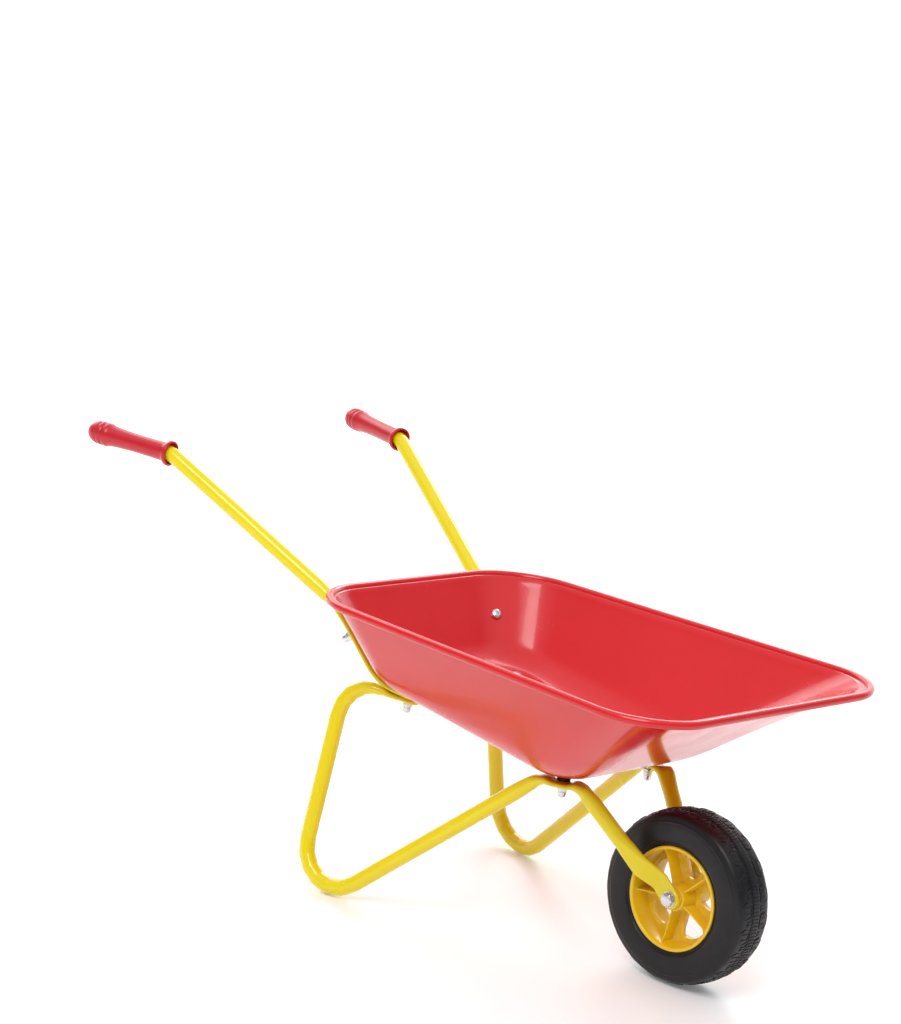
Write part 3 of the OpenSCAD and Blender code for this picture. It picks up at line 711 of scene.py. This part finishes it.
def axle_bolt_shape():
    r, corner = AXLE_AF / 2, AXLE_AF / math.sqrt(3) * 1.01
    crown = [(r * 0.94 * math.cos(a), 4.2 + 1.2 * math.sin(a))
             for a in np.radians(np.arange(0, 90, 9))]
    head = hex_turned(AXLE_AF, [(r * 0.97, 0), (corner, 0.4), (corner, 3.4), (r * 1.02, 4.05)]
                      + crown + [(0.05, 5.42)])
    length = 2 * head_y + 8.5
    shank = turned([(0, 0), (3.9, 0), (3.9, length - 0.6), (3.3, length), (0, length)], 48)
    foot = (0, -head_y, wheel_r)
    return joined([moved(head, place(foot, (0, -1, 0), (1, 0, 0))),
                   moved(shank, place(foot, (0, 1, 0), (1, 0, 0)))])


# ---------- wheel ----------

RIM_R, HUB_R, SLEEVE_R = 54, 13, 7
TYRE_HALF = 26.5
BARREL_R = RIM_R - 2
SPOKES = 5
FIRST_SPOKE = math.radians(44)
WEB_HALF_T, WEB_JOINT = 2.0, 0.004
WINDOW_MIDDLE_R, WINDOW_BEVEL = 34, 0.5
RIB_HALF_T, RIB_HALF_W = 1.25, 17.0


def barrel_shape():
    h, b = TYRE_HALF - 1.5, BARREL_R - 2.5
    side = [(b - 0.3, 0), (b - 0.2, h - 9), (b + 0.1, h - 4), (b + 0.5, h - 1.2), (b + 1.3, h + 0.1),
            (b + 2.5, h + 0.55), (BARREL_R + 1.1, h + 0.5), (RIM_R - 0.3, h + 0.1),
            (RIM_R, h - 0.7), (RIM_R - 0.1, h - 1.8), (BARREL_R + 0.6, h - 2.5), (BARREL_R, h - 3.4)]
    lower = [(r, -y) for r, y in side[:0:-1]]
    return turned(side + [(BARREL_R, 0)] + lower + [side[0]], 160)


def hub_shape():
    bore = SLEEVE_R + 0.08
    h = HUB_HALF
    line = [(bore + 0.4, h), (HUB_R - 0.9, h), (HUB_R - 0.2, h - 0.4), (HUB_R, h - 1.2),
            (HUB_R + 0.5, 6), (HUB_R + 1.6, 3.2), (HUB_R + 1.6, -3.2), (HUB_R + 0.5, -6),
            (HUB_R, 1.2 - h), (HUB_R - 0.2, 0.4 - h), (HUB_R - 0.9, -h), (bore + 0.4, -h),
            (bore, 0.5 - h), (bore, h - 0.5), (bore + 0.4, h)]
    return turned(line, 96)


def sector_reach(ray):
    """How far a ray goes from the window's middle to the edge of the web's sector."""
    reaches = []
    along = WINDOW_MIDDLE_R * ray[0]
    for r, way in ((BARREL_R - 2, 1), (HUB_R - 1, -1)):
        inside = along ** 2 - WINDOW_MIDDLE_R ** 2 + r ** 2
        if inside >= 0:
            reaches.append(-along + way * math.sqrt(inside))
    half_turn = math.pi / SPOKES
    for sign in (1, -1):
        side = vec(-math.sin(half_turn) * sign, math.cos(half_turn))
        slope = ray @ side
        if slope * sign > 1e-9:
            reaches.append(-WINDOW_MIDDLE_R * side[0] / slope)
    return min(r for r in reaches if r > 0) - WEB_JOINT


def web_shape():
    """The disc with its windows: a sector for each window, a hair apart from the next."""
    window = [(20, -5), (30, -9.5), (40, -13.5), (43.5, -7), (44.5, 0),
              (43.5, 7), (40, 13.5), (30, 9.5), (20, 5)]
    middle = vec(WINDOW_MIDDLE_R, 0)
    hole = rounded_outline(window, cuts=2)
    hole = hole[np.argsort(np.arctan2(hole[:, 1], hole[:, 0] - WINDOW_MIDDLE_R))]
    rays = (hole - middle) / np.linalg.norm(hole - middle, axis=1)[:, None]
    edge = np.array([middle + ray * sector_reach(ray) for ray in rays])
    grown = hole + rays * WINDOW_BEVEL
    face, step = WEB_HALF_T, WEB_HALF_T - WINDOW_BEVEL
    rings = [level(flat, z) for flat, z in ((edge, face), (grown, face), (hole, step),
                                            (hole, -step), (grown, -face), (edge, -face))]
    sector = from_rings(rings, wrap=True)
    turns = [2 * math.pi / SPOKES * (i + 0.5) - FIRST_SPOKE for i in range(SPOKES)]
    return joined([moved(sector, Matrix.Rotation(a, 4, "Z")) for a in turns])


def rib_shape():
    """One spoke's stiffening rib, thinner towards its free edges."""
    inner, outer = HUB_R - 0.6, BARREL_R - 2.2
    stations = ((outer, 2.2), (outer - 2.5, 0.4), (outer - 7, -0.4), (24, -0.4),
                (inner + 4, 0.3), (inner, 1.5))
    rings = []
    for x, extra in stations:
        h = RIB_HALF_W + extra
        corner = [(RIB_HALF_T, 0), (RIB_HALF_T * 0.8, h - 0.6), (RIB_HALF_T * 0.45, h)]
        across = corner + [(-y, z) for y, z in corner[::-1]]
        across += [(y, -z) for y, z in across[4:0:-1]]
        rings.append(np.array([(x, y, z) for y, z in across]))
    return from_rings(rings)


def rim_shape():
    shapes = [barrel_shape(), hub_shape(), web_shape()]
    for i in range(SPOKES):
        turn = Matrix.Rotation(2 * math.pi / SPOKES * i - FIRST_SPOKE, 4, "Z")
        shapes.append(moved(rib_shape(), turn))
    return moved(joined(shapes), ON_AXLE)


TREAD = 20
KNOBS, KNOB_HALF = 150, 0.75
KNOB_ROWS = (-3.1, -1.05, 1.05, 3.1)
CREST = [(0, 0), (3.6, 0), (4.2, 0.3), (14.5, 0.6), (18.5, 1.4), (21.9, 3), (24.1, 6), (25.3, 10)]


def crest_r(v):
    """The tread's highest radius at the distance v from the wheel's middle plane."""
    return wheel_r - np.interp(np.abs(v), [p[0] for p in CREST], [p[1] for p in CREST])


def on_tread(uv, turn, depth):
    """Points on the tread: u along it, v across it, at a depth under its crest."""
    u, v = uv[:, 0], uv[:, 1]
    r = crest_r(v) - depth
    a = turn + u / wheel_r
    return np.stack([r * np.cos(a), r * np.sin(a), v], 1)


def pad_shape(uv, turn, low, top, bevel=0.35):
    """A raised block with bevelled edges whose top follows the tread."""
    middle = uv.mean(0)
    size = np.abs(uv - middle).max()
    inset = middle + (uv - middle) * (1 - bevel / size)
    rings = [on_tread(uv, turn, low), on_tread(uv, turn, top + bevel), on_tread(inset, turn, top)]
    rings += [on_tread(middle + (inset - middle) * k, turn, top) for k in (0.66, 0.33)]
    return from_rings(rings)


def frame_rib(uv, turn, width, low, top):
    """A raised line along a closed outline."""
    middle = uv.mean(0)
    size = np.abs(uv - middle).max()
    rings = []
    for off, depth in ((0, low), (0.15, top + 0.1), (0.35, top), (width - 0.35, top),
                       (width - 0.15, top + 0.1), (width, low)):
        rings.append(on_tread(middle + (uv - middle) * (1 - off / size), turn, depth))
    return from_rings(rings, wrap=True)


def bar(u, v0, v1, half):
    """The outline of a lug that runs across the tread."""
    v = np.linspace(v0, v1, 6)
    return np.array([(u - half, a) for a in v[::-1]] + [(u + half, a) for a in v])


def tyre_shape():
    """A smooth carcass with hexagon pads, their frames, lugs and a band of fine knobs."""
    w, top, seat = TYRE_HALF, wheel_r, RIM_R + 0.2
    side = smooth_line([
        (seat, w - 6), (seat + 0.1, w - 3.4), (seat + 1.8, w - 2.9), (seat + 3.2, w - 2.2),
        (seat + 4.2, w - 1.0), (seat + 6, w - 0.45), (seat + 12, w - 0.05), (seat + 20, w - 0.3),
        (top - 13, w - 0.7), (top - 11.6, w - 0.75), (top - 10.6, w - 1.25), (top - 8.2, w - 1.9),
        (top - 5.9, w - 2.7), (top - 4.0, w - 4.4), (top - 2.9, w - 6.6), (top - 2.3, w - 9),
        (top - 1.9, w - 13), (top - 1.7, 6.2)], 4)
    band = [(top - 1.7, 5.6), (top - 0.9, 5.3), (top - 0.75, 4.9), (top - 0.7, 2.4), (top - 0.7, 0)]
    half = [tuple(p) for p in side] + band
    profile = half + [(r, -y) for r, y in half[-2::-1]]
    shapes = [turned([(seat, 0)] + profile + [(seat, 0)], 240)]
    hexagon = np.array([(-7, 6.8), (7, 6.8), (9.8, 14), (5, 21.2), (-5, 21.2), (-9.8, 14)])
    wide = np.vstack([hexagon[i] + (hexagon[(i + 1) % 6] - hexagon[i]) * t
                      for i in range(6) for t in (0, 0.25, 0.5, 0.75)])
    for i in range(TREAD):
        for sign, shift in ((1, 0), (-1, 0.5)):
            turn = 2 * math.pi / TREAD * (i + shift)
            flip = (1, sign)
            shapes.append(pad_shape(wide * flip, turn, 4.0, 0.95))
            shapes.append(frame_rib(wide * flip, turn, 1.5, 3.4, 0.3))
            for u in (-3.1, 3.1):
                shapes.append(pad_shape(bar(u, 8.6, 16.6, 0.7) * flip, turn, 2.6, 0.3, 0.25))
            for u in (-12.6, 12.6):
                shapes.append(pad_shape(bar(u, 6.4, 12.5, 1.1) * flip, turn, 3.2, 0.5, 0.3))
    square = np.array([(-1, -1), (1, -1), (1, 1), (-1, 1)]) * KNOB_HALF
    for v in KNOB_ROWS:
        for i in range(KNOBS):
            turn = 2 * math.pi / KNOBS * i
            shapes.append(pad_shape(square + (0, v), turn, 1.0, 0.02, 0.2))
    return moved(joined(shapes), ON_AXLE)


# ---------- the pieces ----------

piece("tray_shell", tray_shape(), red, "tray", sharp=50)
handle, leg, grip = handle_shape(), leg_shape(), grip_shape()
for side, matrix in (("left", np.eye(4)), ("right", MIRROR)):
    piece(f"handle_{side}", moved(handle, matrix), yellow, f"handle_tube_{side}",
          sharp=60)
    piece(f"leg_{side}", moved(leg, matrix), yellow, f"leg_tube_{side}", sharp=60)
    piece(f"hand_grip_{side}", moved(grip, matrix), grip_red, f"grip_{side}")
for place_name, stack in STACKS.items():
    piece(f"acorn_nuts_{place_name}", nut_pair(*stack), zinc, f"cap_nuts_{place_name}")
piece("wheel_bolt", axle_bolt_shape(), zinc, "axle_bolt")
wheel_nut = moved(cap_nut_shape(AXLE_AF, 6.5, 13.5),
                  place((0, head_y, wheel_r), (0, 1, 0), (1, 0, 0)))
piece("wheel_nut", wheel_nut, zinc, "axle_cap_nut")
piece("rim", rim_shape(), rim_yellow, "wheel_rim", "wheel", 40)
piece("tyre_moulding", tyre_shape(), rubber, "tyre", "wheel", 45)


# ---------- floor, light and camera ----------

FLOOR_HALF, FLOOR_DROP = 7.0, -0.0006
CURVE_START, CURVE_R, WALL_TOP = 2.5, 3, 9
FLOOR_TURN = math.radians(41)


def stage():
    """A pale floor that curves up and glows far behind the object, as the photo's side sees it."""
    line = [(-FLOOR_HALF, FLOOR_DROP), (CURVE_START, FLOOR_DROP)]
    line += [(CURVE_START + CURVE_R * math.sin(a), FLOOR_DROP + CURVE_R * (1 - math.cos(a)))
             for a in np.radians(np.arange(5, 91, 5))] + [(CURVE_START + CURVE_R, WALL_TOP)]
    points = [(x, y, z) for x in (-FLOOR_HALF, FLOOR_HALF) for y, z in line]
    n = len(line)
    faces = [(i, i + n, i + n + 1, i + 1) for i in range(n - 1)]
    mesh = bpy.data.meshes.new("studio_floor")
    mesh.from_pydata(points, [], faces)
    mesh.shade_smooth()
    f = Finish("studio_white", (0.9, 0.9, 0.9), 0.5)
    f.tint(f.ramp(f.noise(1.4, 2), 0.4, 0.7), (0.88, 0.88, 0.89), 0.5)
    local = f.node("ShaderNodeSeparateXYZ")
    f.link(f.coords, local.inputs[0])
    far_glow = f.ramp(local.outputs["Y"], 1.2, 3.2, 0.12, 0.7)
    f.shader.inputs["Emission Color"].default_value = (1, 1, 1, 1)
    f.link(far_glow, f.shader.inputs["Emission Strength"])
    mesh.materials.append(f.done())
    floor = bpy.data.objects.new("studio_floor", mesh)
    floor.rotation_euler = (0, 0, FLOOR_TURN)
    bpy.context.scene.collection.objects.link(floor)


def area_light(name, spot, target, size, power):
    data = bpy.data.lights.new(name, "AREA")
    data.shape, data.size, data.energy = "SQUARE", size, power
    obj = bpy.data.objects.new(name, data)
    obj.location = spot
    obj.rotation_euler = (Vector(target) - Vector(spot)).to_track_quat("-Z", "Y").to_euler()
    bpy.context.scene.collection.objects.link(obj)


CAMERA_SPOT = (2.1067, -2.4444, 1.0696)
CAMERA_FORWARD, CAMERA_UP = (-0.6493, 0.7333, -0.2018), (-0.2345, 0.0594, 0.9703)
SENSOR_W, LENS = 36, 123.93


def camera():
    """The photograph's view of the barrow; it leans, because the photo's barrow is lifted."""
    data = bpy.data.cameras.new("camera")
    data.sensor_fit, data.sensor_width = "HORIZONTAL", SENSOR_W
    data.lens = LENS
    data.clip_end = 60
    obj = bpy.data.objects.new("camera", data)
    forward = Vector(CAMERA_FORWARD).normalized()
    right = forward.cross(Vector(CAMERA_UP)).normalized()
    turn = Matrix((right, right.cross(forward), -forward)).transposed().to_4x4()
    obj.matrix_world = Matrix.Translation(CAMERA_SPOT) @ turn
    bpy.context.scene.collection.objects.link(obj)
    bpy.context.scene.camera = obj


WORLD_STOPS = ((0.0, 0.48), (0.25, 0.28), (0.5, 0.38), (0.75, 0.9))


def studio_world():
    """A plain studio: a bright ceiling over dimmer walls, so that gloss has something to show."""
    world = bpy.data.worlds.new("studio")
    world.use_nodes = True
    tree = world.node_tree
    coords = tree.nodes.new("ShaderNodeTexCoord")
    split = tree.nodes.new("ShaderNodeSeparateXYZ")
    ramp = tree.nodes.new("ShaderNodeValToRGB")
    tree.links.new(coords.outputs["Generated"], split.inputs[0])
    tree.links.new(split.outputs["Z"], ramp.inputs[0])
    tree.links.new(ramp.outputs[0], tree.nodes["Background"].inputs[0])
    while len(ramp.color_ramp.elements) < len(WORLD_STOPS):
        ramp.color_ramp.elements.new(0.5)
    for element, (spot, grey) in zip(ramp.color_ramp.elements, WORLD_STOPS):
        element.position = spot
        element.color = (grey, grey, grey * 1.02, 1)
    bpy.context.scene.world = world


stage()
studio_world()
area_light("key", (0.9, -1.9, 2.4), (0, 0, 0.2), 1.5, 42)
area_light("fill", (-2.4, 0.4, 1.9), (0, 0, 0.25), 1.6, 15)
area_light("back", (-0.9, 1.9, 1.8), (0, 0, 0.2), 1.2, 18)
camera()
bpy.context.scene.view_settings.view_transform = "Standard"
